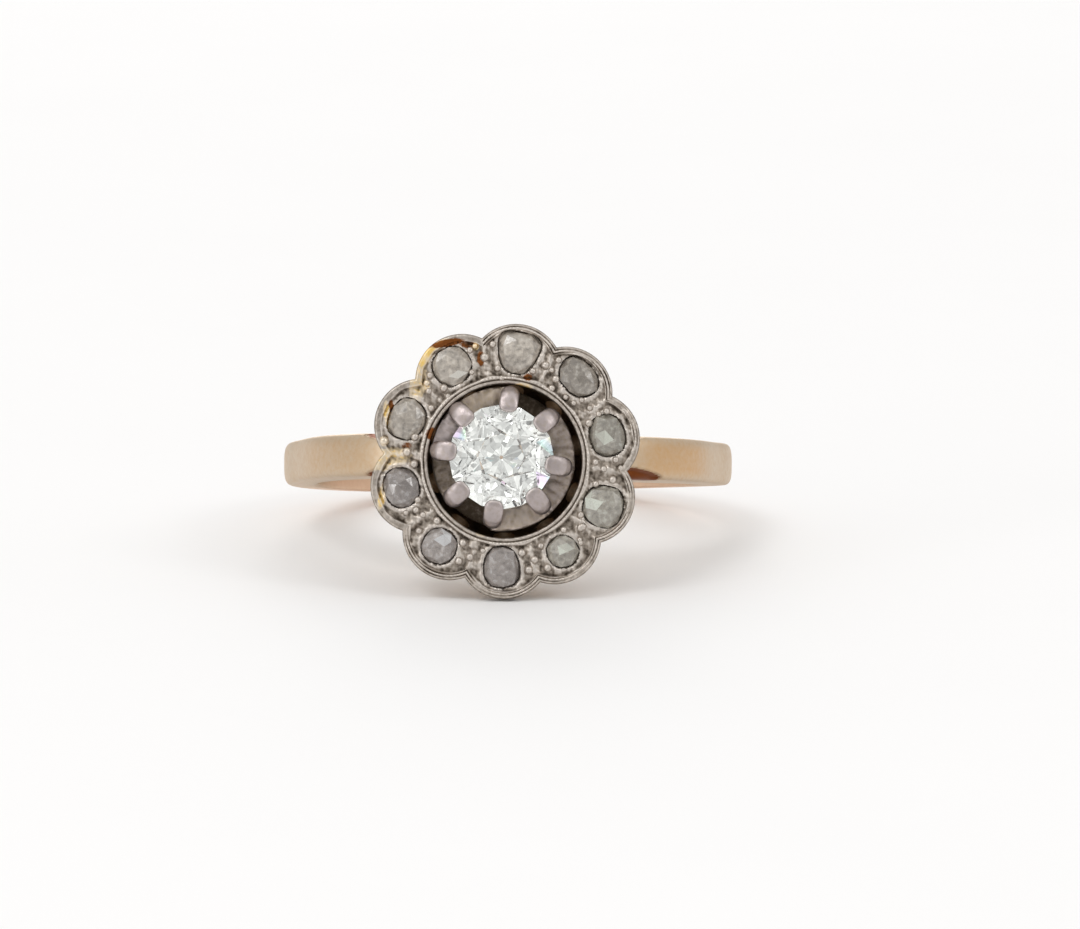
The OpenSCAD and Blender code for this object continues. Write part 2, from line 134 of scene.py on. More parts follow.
def rolledSheet(name, x, y, z, marks, ring=True):
    # a grid primitive rolled into a tube through rows of points, and closed to a ring or capped at both ends
    rows, columns = x.shape
    wide = columns if ring else columns - 1
    piece = newPiece(name, bpy.ops.mesh.primitive_grid_add, x_subdivisions=wide, y_subdivisions=rows, size=2)
    sheet = pointsOf(piece)
    column = np.rint((sheet[:, 0] + 1) / 2 * wide).astype(int) % columns
    row = np.rint((sheet[:, 1] + 1) / 2 * rows).astype(int) % rows
    movePoints(piece, np.stack([grid[row, column] for grid in (x, y, z)], 1))
    for mark in ("crevice", "polishAndHighlight", "gilt", "rustAndShade"):
        paint(piece, mark, marks[mark][row, column] if mark in marks else np.zeros(len(sheet)))
    editAll(piece, lambda: bpy.ops.mesh.remove_doubles(threshold=0.00001))
    if not ring:
        takeUp(piece)
        bpy.ops.object.mode_set(mode="EDIT")
        bpy.ops.mesh.select_mode(type="EDGE")
        bpy.ops.mesh.select_all(action="DESELECT")
        bpy.ops.mesh.select_non_manifold(extend=False, use_wire=False, use_multi_face=False,
                                         use_non_contiguous=False, use_verts=False)
        bpy.ops.mesh.fill_holes(sides=0)
        bpy.ops.object.mode_set(mode="OBJECT")
    return piece


def finishPiece(piece, material, nodes, smoothAngle=40):
    editAll(piece, turnOutwards)
    piece.data.transform(layDown)
    piece.data.update()
    piece.data.materials.clear()
    piece.data.materials.append(material)
    takeUp(piece)
    if smoothAngle:
        bpy.ops.object.shade_smooth_by_angle(angle=math.radians(smoothAngle))
    else:
        bpy.ops.object.shade_flat()
    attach(piece, "root")
    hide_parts(*nodes)
    print(piece.name, len(piece.data.polygons), "faces")


# number helpers

def smooth(low, high, value):
    t = np.clip((value - low) / (high - low), 0, 1)
    return t * t * (3 - 2 * t)


def bump(value, middle, width):
    return np.exp(-((value - middle) / width) ** 2)


def handWork(x, y, grain, seed):
    # unevenness of hand work, about -1 to 1, with hills about grain millimetres wide
    pick = np.random.default_rng(seed)
    total = 0
    for wave in range(16):
        turn, phase = pick.uniform(0, math.tau, 2)
        length = grain * pick.uniform(0.65, 1.6)
        total = total + np.sin((x * math.cos(turn) + y * math.sin(turn)) * math.pi / length + phase)
    return total / 3.6


# materials

def addNode(tree, kind, feeds=None, **settings):
    made = tree.nodes.new(kind)
    for key, value in settings.items():
        setattr(made, key, value)
    for socket, source in (feeds or {}).items():
        if isinstance(source, bpy.types.NodeSocket):
            tree.links.new(source, made.inputs[socket])
        else:
            made.inputs[socket].default_value = source
    return made


def mixColour(tree, share, first, second, blend="MIX"):
    return addNode(tree, "ShaderNodeMix", {0: share, 6: first, 7: second}, data_type="RGBA", blend_type=blend).outputs[2]


def mixNumber(tree, share, first, second):
    return addNode(tree, "ShaderNodeMix", {0: share, 2: first, 3: second}).outputs[0]


def mathNode(tree, operation, first, second=0.5):
    return addNode(tree, "ShaderNodeMath", {0: first, 1: second}, operation=operation).outputs[0]


def noiseField(tree, where, scale, detail=4, rough=0.55):
    return addNode(tree, "ShaderNodeTexNoise", {"Vector": where, "Scale": scale, "Detail": detail,
                                                "Roughness": rough}).outputs["Fac"]


def spread(tree, value, low, high, first=0.0, last=1.0):
    return addNode(tree, "ShaderNodeMapRange", {0: value, 1: low, 2: high, 3: first, 4: last}).outputs[0]


def attribute(tree, name):
    return addNode(tree, "ShaderNodeAttribute", attribute_name=name).outputs["Fac"]


def startMaterial(name):
    material = bpy.data.materials.new(name)
    material.use_nodes = True
    tree = material.node_tree
    shader = tree.nodes["Principled BSDF"]
    place = addNode(tree, "ShaderNodeTexCoord").outputs["Object"]
    return material, tree, shader, place


def wornMetal(name, look):
    # worn metal: two tones in clouds, crevices darkened with grime and painted shade, edges paler with polish and a
    # painted highlight, gilt patches, and brown patches of rust and of painted shade
    material, tree, shader, place = startMaterial(name)
    clouds = noiseField(tree, place, look["cloudScale"], 3)
    specks = noiseField(tree, place, look["speckScale"], 6, 0.65)
    colour = mixColour(tree, spread(tree, clouds, 0.35, 0.65), look["base"], look["other"])
    colour = mixColour(tree, spread(tree, specks, 0.46, 0.66, 0, look["speckShare"]), colour, look["speck"])
    gilt = attribute(tree, "gilt")
    giltEdge = mathNode(tree, "ADD", gilt, spread(tree, specks, 0.3, 0.7, -0.2, 0.2))
    colour = mixColour(tree, spread(tree, giltEdge, look["giltFrom"], look["giltTo"]), colour, look["gold"])
    colour = mixColour(tree, spread(tree, giltEdge, 0.82, 0.95), colour, look["bareGold"])
    # paler where polished, partly a painted highlight on raised edges and at the claw tips
    polishAndHighlight = attribute(tree, "polishAndHighlight")
    colour = mixColour(tree, mathNode(tree, "MULTIPLY", polishAndHighlight, look["polishAndHighlightShare"]), colour, look["bright"])
    # brown: rust stains, and painted shade at the shoulder corners and at the gallery's wall foot
    rustAndShade = mathNode(tree, "ADD", attribute(tree, "rustAndShade"), spread(tree, specks, 0.3, 0.7, -0.2, 0.2))
    colour = mixColour(tree, spread(tree, rustAndShade, 0.35, 0.7), colour, look["brown"])
    # crevice darkening: grime, and painted shade in hollows, under the head and low on the walls
    crevice = attribute(tree, "crevice")
    grimeAndShade = mathNode(tree, "MULTIPLY", crevice, spread(tree, specks, 0.3, 0.6, 0.75, 1.1))
    grimeAndShade = addNode(tree, "ShaderNodeClamp", {0: grimeAndShade}).outputs[0]
    colour = mixColour(tree, mathNode(tree, "MULTIPLY", grimeAndShade, look["grimeAndShadeShare"]), colour, look["grimeAndShade"])
    tree.links.new(colour, shader.inputs["Base Color"])
    shader.inputs["Metallic"].default_value = 1.0
    rough = mathNode(tree, "ADD", spread(tree, specks, 0.3, 0.7, look["rough"] - 0.05, look["rough"] + 0.07),
                     mathNode(tree, "MULTIPLY", grimeAndShade, 0.35))
    tree.links.new(rough, shader.inputs["Roughness"])
    scratches = noiseField(tree, place, look["scratchScale"], 5, 0.7)
    height = mathNode(tree, "ADD", mathNode(tree, "MULTIPLY", specks, 0.6), mathNode(tree, "MULTIPLY", scratches, 0.4))
    relief = addNode(tree, "ShaderNodeBump", {"Strength": look["bumpStrength"], "Distance": look["bumpDepth"],
                                              "Height": height})
    tree.links.new(relief.outputs[0], shader.inputs["Normal"])
    return material


whiteMetal = wornMetal("wornWhiteMetal", {
    "base": (0.49, 0.43, 0.37, 1), "other": (0.39, 0.335, 0.285, 1),
    "speck": (0.17, 0.14, 0.11, 1), "speckShare": 0.8,
    "gold": (0.76, 0.62, 0.42, 1), "bareGold": (0.98, 0.68, 0.22, 1), "giltFrom": 0.3, "giltTo": 0.5,
    "bright": (0.80, 0.74, 0.68, 1), "polishAndHighlightShare": 0.7,
    "brown": (0.22, 0.075, 0.02, 1), "grimeAndShade": (0.055, 0.04, 0.026, 1), "grimeAndShadeShare": 0.9,
    "cloudScale": 900, "speckScale": 5500, "scratchScale": 14000,
    "rough": 0.40, "bumpStrength": 0.9, "bumpDepth": 0.000016})
clawMetal = wornMetal("softGreyClawMetal", {
    "base": (0.53, 0.465, 0.455, 1), "other": (0.45, 0.395, 0.385, 1),
    "speck": (0.34, 0.295, 0.28, 1), "speckShare": 0.5,
    "gold": (0.60, 0.48, 0.29, 1), "bareGold": (0.60, 0.48, 0.29, 1), "giltFrom": 0.0, "giltTo": 1.0,
    "bright": (0.86, 0.80, 0.77, 1), "polishAndHighlightShare": 0.6,
    "brown": (0.20, 0.10, 0.04, 1), "grimeAndShade": (0.10, 0.07, 0.04, 1), "grimeAndShadeShare": 0.85,
    "cloudScale": 1200, "speckScale": 6000, "scratchScale": 14000,
    "rough": 0.42, "bumpStrength": 0.6, "bumpDepth": 0.00001})
satinGold = wornMetal("satinRoseGold", {
    "base": (0.60, 0.495, 0.375, 1), "other": (0.61, 0.485, 0.35, 1),
    "speck": (0.52, 0.41, 0.30, 1), "speckShare": 0.3,
    "gold": (0.63, 0.405, 0.215, 1), "bareGold": (0.63, 0.405, 0.215, 1), "giltFrom": 0.0, "giltTo": 1.0,
    "bright": (0.86, 0.63, 0.47, 1), "polishAndHighlightShare": 0.8,
    "brown": (0.20, 0.055, 0.012, 1), "grimeAndShade": (0.12, 0.07, 0.035, 1), "grimeAndShadeShare": 0.9,
    "cloudScale": 500, "speckScale": 4500, "scratchScale": 12000,
    "rough": 0.42, "bumpStrength": 0.25, "bumpDepth": 0.000005})
print("metals mixed")


def stoneMaterial(name, look):
    # grey rose cut: facet tones, cloudy inside, fine dust with painted sparkle, and painted glints on chosen facets,
    # under a glassy surface
    material, tree, shader, place = startMaterial(name)
    tone = attribute(tree, "tone")
    veil = noiseField(tree, place, look["veilScale"], 5, 0.6)
    dustAndSparkle = noiseField(tree, place, look["dustAndSparkleScale"], 4, 0.6)
    colour = mixColour(tree, tone, look["dark"], look["light"])
    colour = mixColour(tree, spread(tree, veil, 0.42, 0.68, 0, 0.45), colour, look["veil"])
    colour = mixColour(tree, spread(tree, dustAndSparkle, 0.46, 0.66, 0, 0.65), colour, look["dark"])
    # painted sparkle: light specks in the glint colour where the noise is low
    colour = mixColour(tree, spread(tree, dustAndSparkle, 0.46, 0.28, 0, 0.45), colour, look["glint"])
    colour = mixColour(tree, attribute(tree, "glint"), colour, look["glint"])
    tree.links.new(colour, shader.inputs["Base Color"])
    shader.inputs["IOR"].default_value = 1.9
    rough = spread(tree, dustAndSparkle, 0.4, 0.7, 0.18, 0.40)
    tree.links.new(rough, shader.inputs["Roughness"])
    relief = addNode(tree, "ShaderNodeBump", {"Strength": 0.5, "Distance": 0.000012, "Height": dustAndSparkle})
    tree.links.new(relief.outputs[0], shader.inputs["Normal"])
    return material


roseTints = {
    "grey": {"dark": (0.10, 0.085, 0.07, 1), "light": (0.62, 0.555, 0.475, 1), "veil": (0.27, 0.235, 0.20, 1), "glint": (0.66, 0.64, 0.58, 1)},
    "violet": {"dark": (0.10, 0.085, 0.078, 1), "light": (0.60, 0.54, 0.50, 1), "veil": (0.27, 0.235, 0.22, 1), "glint": (0.62, 0.63, 0.64, 1)},
    "green": {"dark": (0.10, 0.088, 0.07, 1), "light": (0.60, 0.56, 0.485, 1), "veil": (0.27, 0.245, 0.205, 1), "glint": (0.63, 0.66, 0.58, 1)},
}
roseMaterials = {tint: stoneMaterial(tint + "RoseCut", dict(colours, veilScale=1800, dustAndSparkleScale=5500))
                 for tint, colours in roseTints.items()}


def clearStone(name):
    # clear stone with a trace of fire, as soft tints in spots
    material, tree, shader, place = startMaterial(name)
    haze = noiseField(tree, place, 2500, 3)
    colour = mixColour(tree, haze, (0.95, 0.975, 0.945, 1), (0.90, 0.925, 0.895, 1))
    hues = addNode(tree, "ShaderNodeTexNoise", {"Vector": place, "Scale": 1400, "Detail": 0}).outputs["Color"]
    vivid = addNode(tree, "ShaderNodeHueSaturation", {"Saturation": 3.5, "Value": 1.7, "Color": hues}).outputs[0]
    colour = mixColour(tree, attribute(tree, "fire"), colour, vivid)
    tree.links.new(colour, shader.inputs["Base Color"])
    shader.inputs["Transmission Weight"].default_value = 1.0
    shader.inputs["Emission Color"].default_value = (1.0, 1.0, 0.97, 1)
    tree.links.new(attribute(tree, "flash"), shader.inputs["Emission Strength"])
    shader.inputs["IOR"].default_value = 2.42
    shader.inputs["Roughness"].default_value = 0.0
    return material


oldCutGlass = clearStone("oldCutGlass")
print("stones tinted")


# the head's own measures

head = {"middle": (-0.09, -0.30), "rim": 12.95, "plateFoot": 12.30, "opening": 3.33,
        "petalOut": 3.93, "petalEnd": 2.02, "photoMiddle": (506, 461), "pixelsPerMm": 23.2}
petalTurns = [83, 48, 14, -23.5, -57, -90.5, -127.5, -164, -203, -242]
petalRadians = np.radians(petalTurns)
ridgeRadians = np.radians([(a + b) / 2 for a, b in zip(petalTurns, petalTurns[1:] + [petalTurns[0] - 360])])


def photoSpot(across, down):
    # a place on the head, from where it shows in the photograph, measured from the head's middle
    return ((across - head["photoMiddle"][0]) / head["pixelsPerMm"], (head["photoMiddle"][1] - down) / head["pixelsPerMm"])


def petalEdge(turn, inset):
    # distance from the middle to the outline of the petals, drawn in by inset
    away = np.asarray(turn)[..., None] - petalRadians
    side = head["petalOut"] * np.sin(away)
    inside = (head["petalEnd"] - inset) ** 2 - side ** 2
    reach = np.where((inside > 0) & (np.cos(away) > 0), head["petalOut"] * np.cos(away) + np.sqrt(np.maximum(inside, 0)), 0)
    return reach.max(-1)


def petalInset(x, y):
    # how far a place lies inside the nearest petal's outline, how far along that outline, and which petal
    best = np.full(np.shape(x), -9.0)
    along = np.zeros(np.shape(x))
    petal = np.zeros(np.shape(x), int)
    for number, turn in enumerate(petalRadians):
        dx = x - head["petalOut"] * math.cos(turn)
        dy = y - head["petalOut"] * math.sin(turn)
        inset = head["petalEnd"] - np.hypot(dx, dy)
        nearer = inset > best
        best = np.where(nearer, inset, best)
        along = np.where(nearer, np.arctan2(dy, dx) * head["petalEnd"], along)
        petal = np.where(nearer, number, petal)
    return best, along, petal


# middle stone: rings of corner points drawn from a sphere and wrapped in flat facets

centreCut = {"middle": (-0.241, -0.14), "girdleZ": 13.15, "corners": 16, "uneven": 0.02,
             "fire": ((464, 443), (542, 443), (539, 473))}
centreRings = [  # radius, height, corners on the ring, turn as a share of a step, unevenness
    (0.0, 0.78, 8, 0, 0), (0.98, 0.78, 8, 0, 0), (1.62, 0.50, 8, 0.5, 0.6), (2.27, 0.035, 16, 0, 0), (2.27, -0.035, 16, 0, 0),
    (1.32, -1.00, 8, 0.5, 1), (0.70, -1.47, 8, 0, 0.6), (0.08, -1.95, 8, 0.5, 0), (0.08, -1.95, 8, 0.5, 0), (0.0, -1.95, 8, 0, 0)]


def makeCentreStone():
    cut, pick = centreCut, np.random.default_rng(5)
    corners = cut["corners"]
    stone = newPiece("oldCutStone", bpy.ops.mesh.primitive_uv_sphere_add, segments=corners, ring_count=len(centreRings) - 1, radius=1)
    points = pointsOf(stone)
    level = np.rint(np.arccos(np.clip(points[:, 2], -1, 1)) / math.pi * (len(centreRings) - 1)).astype(int)
    column = np.rint(np.arctan2(points[:, 1], points[:, 0]) / math.tau * corners).astype(int) % corners
    for number, (radius, height, count, shift, uneven) in enumerate(centreRings):
        here = level == number
        corner = column[here] * count // corners
        turn = (corner + shift) * math.tau / count
        off = pick.uniform(-1, 1, (3, corners)) * cut["uneven"] * uneven
        turn = turn + off[2][corner] / max(radius, 0.3)
        far = radius + off[0][corner]
        points[here] = np.stack([far * np.cos(turn), far * np.sin(turn), height + off[1][corner]], 1)
    points += (cut["middle"][0], cut["middle"][1], cut["girdleZ"])
    movePoints(stone, points)
    editAll(stone, lambda: bpy.ops.mesh.remove_doubles(threshold=0.001), bpy.ops.mesh.convex_hull,
            lambda: bpy.ops.mesh.dissolve_limited(angle_limit=math.radians(0.5)))
    faces = stone.data.polygons
    fire = np.zeros(len(faces))
    for across, down in cut["fire"]:
        x, y = photoSpot(across, down)
        away = [math.hypot(f.center.x - head["middle"][0] - x, f.center.y - head["middle"][1] - y) + 9 * (f.normal.z < 0.1) for f in faces]
        fire[int(np.argmin(away))] = 0.4
    paint(stone, "fire", fire, "FACE")
    middle = cut["middle"]
    below = np.array([face.normal.z < -0.1 and math.hypot(face.center.x - middle[0], face.center.y - middle[1]) > 0.65 for face in faces])
    flash = np.where(below, pick.uniform(0.16, 0.34, len(faces)) * (pick.uniform(0, 1, len(faces)) < 0.4), 0)
    paint(stone, "flash", flash, "FACE")
    finishPiece(stone, oldCutGlass, ["centre_stone"], 0)


makeCentreStone()
print("middle stone cut")


# small stones: one row a petal, clockwise from the top

roseCut = {"distance": 4.64, "size": 1.64, "height": 0.5, "seat": 12.63}
roses = [  # width, length, shift left, shift out, turn, squareness, taper, tint, shade
    (1.10, 1.14, 0.00, 0.04, -6, 2.8, 0.28, "grey", 0.74),
    (1.18, 0.90, 0.04, 0.10, -8, 2.3, 0.10, "grey", 0.30),
    (1.14, 0.95, 0.00, -0.05, 0, 2.3, 0.00, "green", 0.40),
    (1.12, 1.08, -0.06, 0.02, 10, 2.5, 0.05, "green", 0.46),
    (0.86, 0.86, -0.02, 0.00, 0, 2.1, 0.00, "green", 0.52),
    (0.98, 1.12, -0.06, -0.04, 6, 2.3, 0.10, "violet", 0.42),
    (0.94, 0.96, 0.00, 0.00, 20, 2.2, 0.00, "violet", 0.48),
    (1.08, 0.94, -0.08, -0.03, 0, 2.3, 0.05, "violet", 0.34),
    (1.12, 0.98, 0.00, -0.04, -6, 2.4, 0.08, "grey", 0.62),
    (1.06, 1.02, 0.06, 0.03, 0, 2.2, 0.00, "grey", 0.72),
]
glints = {  # where a facet of the small stone shines in the photograph, and how wide the light is
    3: ((606, 435), 0.24), 4: ((594, 500), 0.30), 5: ((565, 549), 0.26), 7: ((447, 538), 0.26),
    10: ((459, 372), 0.24), 1: ((516, 352), 0.16), 8: ((396, 478), 0.10), 6: ((500, 560), 0.12)}


def roseFrame(index):
    turn = petalRadians[index]
    row = roses[index]
    out = np.array([math.cos(turn), math.sin(turn)])
    left = np.array([-math.sin(turn), math.cos(turn)])
    middle = out * (roseCut["distance"] + row[3] * roseCut["size"]) + left * row[2] * roseCut["size"]
    return middle, turn + math.radians(row[4])


def roseShare(index, x, y):
    # 1 on the outline of the stone, less inside it
    middle, turn = roseFrame(index)
    width, length, power, taper = (roses[index][column] for column in (0, 1, 5, 6))
    dx, dy = x - middle[0], y - middle[1]
    out = (dx * math.cos(turn) + dy * math.sin(turn)) / (length * roseCut["size"] / 2)
    side = (-dx * math.sin(turn) + dy * math.cos(turn)) / (width * roseCut["size"] / 2)
    side = side / np.maximum(1 + taper * np.clip(out, -1.2, 1.2), 0.3)
    return (np.abs(out) ** power + np.abs(side) ** power) ** (1 / power)


def makeRose(index):
    row = roses[index]
    pick = np.random.default_rng(40 + index)
    stone = newPiece("roseStone_" + str(index + 1), bpy.ops.mesh.primitive_ico_sphere_add, subdivisions=2, radius=1)
    stone.data.transform(Matrix.Rotation(pick.uniform(0, 1.2), 4, "Z") @ Matrix.Rotation(0.35, 4, "X"))
    editAll(stone, lambda: bpy.ops.mesh.bisect(plane_co=(0, 0, 0), plane_no=(0, 0, 1), clear_inner=True, use_fill=True))
    points = pointsOf(stone)
    flat = points[:, 2] < 0.02
    points[~flat] += pick.uniform(-0.07, 0.07, points[~flat].shape)
    angle = np.arctan2(points[:, 1], points[:, 0])
    reach = np.minimum(np.hypot(points[:, 0], points[:, 1]), 1)
    corner = 1 / (np.abs(np.cos(angle)) ** row[5] + np.abs(np.sin(angle)) ** row[5]) ** (1 / row[5])
    out = np.cos(angle) * reach * corner
    side = np.sin(angle) * reach * corner * (1 + row[6] * out)
    out *= row[1] * roseCut["size"] / 2
    side *= row[0] * roseCut["size"] / 2
    height = np.clip(points[:, 2], 0, 1) ** 0.8 * roseCut["height"]
    middle, turn = roseFrame(index)
    x = head["middle"][0] + middle[0] + out * math.cos(turn) - side * math.sin(turn)
    y = head["middle"][1] + middle[1] + out * math.sin(turn) + side * math.cos(turn)
    movePoints(stone, np.stack([x, y, roseCut["seat"] + height + np.where(flat, 0, 0.02)], 1))
    faces = stone.data.polygons
    tone = np.clip(row[8] + pick.uniform(-0.13, 0.13, len(faces)), 0, 1)
    glint = np.zeros(len(faces))
    if index + 1 in glints:
        (px, py), wide = glints[index + 1]
        gx, gy = photoSpot(px, py)
        away = np.array([math.hypot(f.center.x - head["middle"][0] - gx, f.center.y - head["middle"][1] - gy) for f in faces])
        glint = np.where(away < wide, pick.uniform(0.35, 0.9, len(faces)), 0)
    paint(stone, "tone", tone, "FACE")
    paint(stone, "glint", glint, "FACE")
    finishPiece(stone, roseMaterials[row[7]], ["rose_" + str(index + 1)], 0)
    return stone


for index in range(10):
    makeRose(index)
print("small stones cut")


# plate of petals: a ring of rows that follow the petals' outline, with its relief worked by hand

plate = {"columns": 1080, "fieldRows": 34, "field": 0.13, "seat": 0.34,
         "grooveDepth": 0.07, "beadPitch": 0.17, "beadHeight": 0.028,
         "ridgeWide": 0.15, "ridgeHigh": 0.6, "uneven": 0.03, "fineUneven": 0.014,
         "grooved": (1, 1, 0.8, 0.7, 1, 1, 1, 0.2, 0.15, 0.1)}
rimInsets = [0.0, 0.015, 0.04, 0.065, 0.09, 0.11, 0.13, 0.15, 0.175, 0.2, 0.225, 0.25, 0.275, 0.3, 0.33, 0.37]
patches = [  # gilt and brown places: across, down, half width, half height and turn in the photograph, kind, strength
    (427, 357, 5, 12, -35, "gilt", 1.3), (448, 343, 18, 4, 10, "rustAndShade", 0.9), (440, 345, 12, 4, 25, "gilt", 1.2),
    (470, 345, 10, 4, -10, "rustAndShade", 0.7), (476, 346, 4, 4, 0, "gilt", 1.2),
    (419, 382, 8, 24, -8, "gilt", 0.8), (428, 386, 3, 4, 0, "gilt", 1.1),
    (389, 416, 4, 14, 8, "gilt", 1.3), (393, 408, 3, 10, 10, "rustAndShade", 0.8), (385, 441, 4, 5, 0, "gilt", 1.0),
    (388, 459, 24, 11, 10, "gilt", 0.8), (384, 494, 4, 15, -12, "gilt", 1.3), (387, 487, 3, 8, 0, "rustAndShade", 0.6),
    (482, 358, 4, 8, 0, "rustAndShade", 0.9), (433, 434, 6, 7, 0, "rustAndShade", 0.8), (438, 432, 4, 4, 0, "gilt", 0.6),
    (529, 377, 5, 4, 0, "rustAndShade", 0.8), (525, 386, 9, 3, -8, "gilt", 0.9),
    (579, 474, 3, 8, 0, "gilt", 0.9), (484, 533, 7, 4, 0, "gilt", 0.7), (408, 446, 6, 4, 0, "rustAndShade", 0.6),
    (463, 372, 3, 4, 0, "rustAndShade", 0.4), (551, 554, 4, 4, 0, "rustAndShade", 0.3),
]


def patchShare(x, y, kind):
    share = np.zeros(np.shape(x))
    for across, down, halfWide, halfHigh, turn, what, strength in patches:
        if what != kind:
            continue
        mx, my = photoSpot(across, down)
        dx, dy = (x - mx) * head["pixelsPerMm"], (y - my) * head["pixelsPerMm"]
        c, s = math.cos(math.radians(turn)), math.sin(math.radians(turn))
        far = np.hypot((dx * c + dy * s) / halfWide, (-dx * s + dy * c) / halfHigh)
        share = np.maximum(share, strength * (1 - smooth(0.6, 1.4, far)))
    return share


def makePlate():
    columns, fieldRows = plate["columns"], plate["fieldRows"]
    turn = np.arange(columns) * math.tau / columns
    top, foot = head["rim"], head["plateFoot"]
    wallUp = [(0.03, foot), (0.0, foot + 0.04), (0.0, foot + 0.17), (-0.0, foot + 0.32), (0.0, foot + 0.46)]
    rows = [(petalEdge(turn, inset), z) for inset, z in wallUp]
    firstTop = len(rows)
    rows += [(petalEdge(turn, inset), top) for inset in rimInsets]
    outer, inner = petalEdge(turn, rimInsets[-1]), head["opening"] + rimInsets[-1]
    rows += [(outer + (inner - outer) * (step + 1) / (fieldRows + 1), top) for step in range(fieldRows)]
    rows += [(np.full(columns, head["opening"] + step), top) for step in rimInsets[::-1]]
    lastTop = len(rows)
    rows += [(np.full(columns, head["opening"]), z) for z in (foot + 0.46, foot + 0.3, foot + 0.14, foot + 0.03)]
    rows += [(np.full(columns, head["opening"] + 0.03), foot)]
    rows += [(inner + (outer - inner) * share, foot) for share in (0.25, 0.6, 0.95)]
    radius = np.stack([r for r, z in rows])
    level = np.stack([np.full(columns, z) for r, z in rows])
    x, y = radius * np.cos(turn), radius * np.sin(turn)
    # relief of the top
    tx, ty = x[firstTop:lastTop], y[firstTop:lastTop]
    inset, along, petal = petalInset(tx, ty)
    grooved = np.array(plate["grooved"])[petal] * np.clip(0.75 + 0.35 * handWork(tx, ty, 0.9, 9), 0, 1.1)
    fromHole = np.hypot(tx, ty) - head["opening"]
    angle = np.arctan2(ty, tx)
    rim = 1 - smooth(0.28, 0.37, inset + 0.025 * handWork(tx, ty, 0.5, 3))
    border = 1 - smooth(0.30, 0.40, fromHole + 0.03 * handWork(tx, ty, 0.6, 4))
    ridge = np.zeros(tx.shape)
    for line in ridgeRadians:
        off = angle - line
        side = np.hypot(tx, ty) * np.sin(off) + 0.05 * handWork(tx, ty, 0.5, 5)
        ridge = np.maximum(ridge, np.where(np.cos(off) > 0.5, bump(side, 0, plate["ridgeWide"]), 0))
    up = np.maximum(np.maximum(rim, border), plate["ridgeHigh"] * ridge)
    height = -plate["field"] * (1 - up)
    height += np.where(inset < 0.11, -0.09 * (1 - np.clip(inset / 0.11, 0, 1)) ** 2, 0)
    height += np.where(fromHole < 0.07, -0.07 * (1 - np.clip(fromHole / 0.07, 0, 1)) ** 2, 0)
    beads = 0.5 + 0.5 * np.cos(along * math.tau / plate["beadPitch"])
    beadsHole = 0.5 + 0.5 * np.cos(angle * (head["opening"] + 0.27) * math.tau / 0.165)
    height += grooved * (-plate["grooveDepth"] * bump(inset, 0.115, 0.026) + plate["beadHeight"] * beads * bump(inset, 0.18, 0.035)
                         - plate["grooveDepth"] * bump(inset, 0.25, 0.028))
    height += -0.055 * bump(fromHole, 0.175, 0.03) + 0.026 * beadsHole * bump(fromHole, 0.255, 0.035)
    seat = np.zeros(tx.shape)
    for index in range(10):
        share = roseShare(index, tx, ty)
        height += 0.035 * bump(share, 1.13, 0.06) * (1 - rim) * (1 - border)
        lip = -plate["seat"] + (plate["seat"] + 0.02) * smooth(0.97, 1.02, share)
        height = np.where(share < 1.02, np.minimum(height, lip), height)
        seat = np.maximum(seat, 1 - smooth(1.02, 1.10, share))
    tame = 1 - 0.7 * np.maximum(rim, border)
    height += tame * (plate["uneven"] * handWork(tx, ty, 0.3, 6) + plate["fineUneven"] * handWork(tx, ty, 0.1, 7))
    height = np.minimum(height, 0.025)
    level[firstTop:lastTop] += height
    # crevices lie lower than what is round them and get grime and painted shade, the deeper field more painted shade;
    # polished edges lie higher and get polish and a painted highlight
    around = height.copy()
    for turns in range(3):
        around = (np.roll(around, 4, 1) + around + np.roll(around, -4, 1)) / 3
        padded = np.pad(around, ((2, 2), (0, 0)), mode="edge")
        around = (padded[:-4] + padded[2:-2] + padded[4:]) / 3
    low = np.clip((around - height) / 0.06, 0, 1)
    high = np.clip((height - around) / 0.035, 0, 1)
    depth = np.clip(-height / 0.30, 0, 1)
    crevice = np.clip(0.8 * low * (1 - 0.6 * seat) + 0.35 * depth * (1 - seat), 0, 1)
    # the wall round the opening is painted darker as shade, the other walls and the foot a little
    whole = {"crevice": 0.5 * (1 - smooth(0.0, 0.02, radius - head["opening"])) + 0.1, "polishAndHighlight": np.zeros(radius.shape),
             "gilt": patchShare(x, y, "gilt"), "rustAndShade": patchShare(x, y, "rustAndShade")}
    whole["crevice"][firstTop:lastTop] = crevice
    whole["polishAndHighlight"][firstTop:lastTop] = high
    piece = rolledSheet("clusterPlate", x + head["middle"][0], y + head["middle"][1], level, whole)
    finishPiece(piece, whiteMetal, ["cluster"], 50)


makePlate()
print("plate worked")


# polished grains, set where they stand in the photograph; a third number is a grain's width in pixels

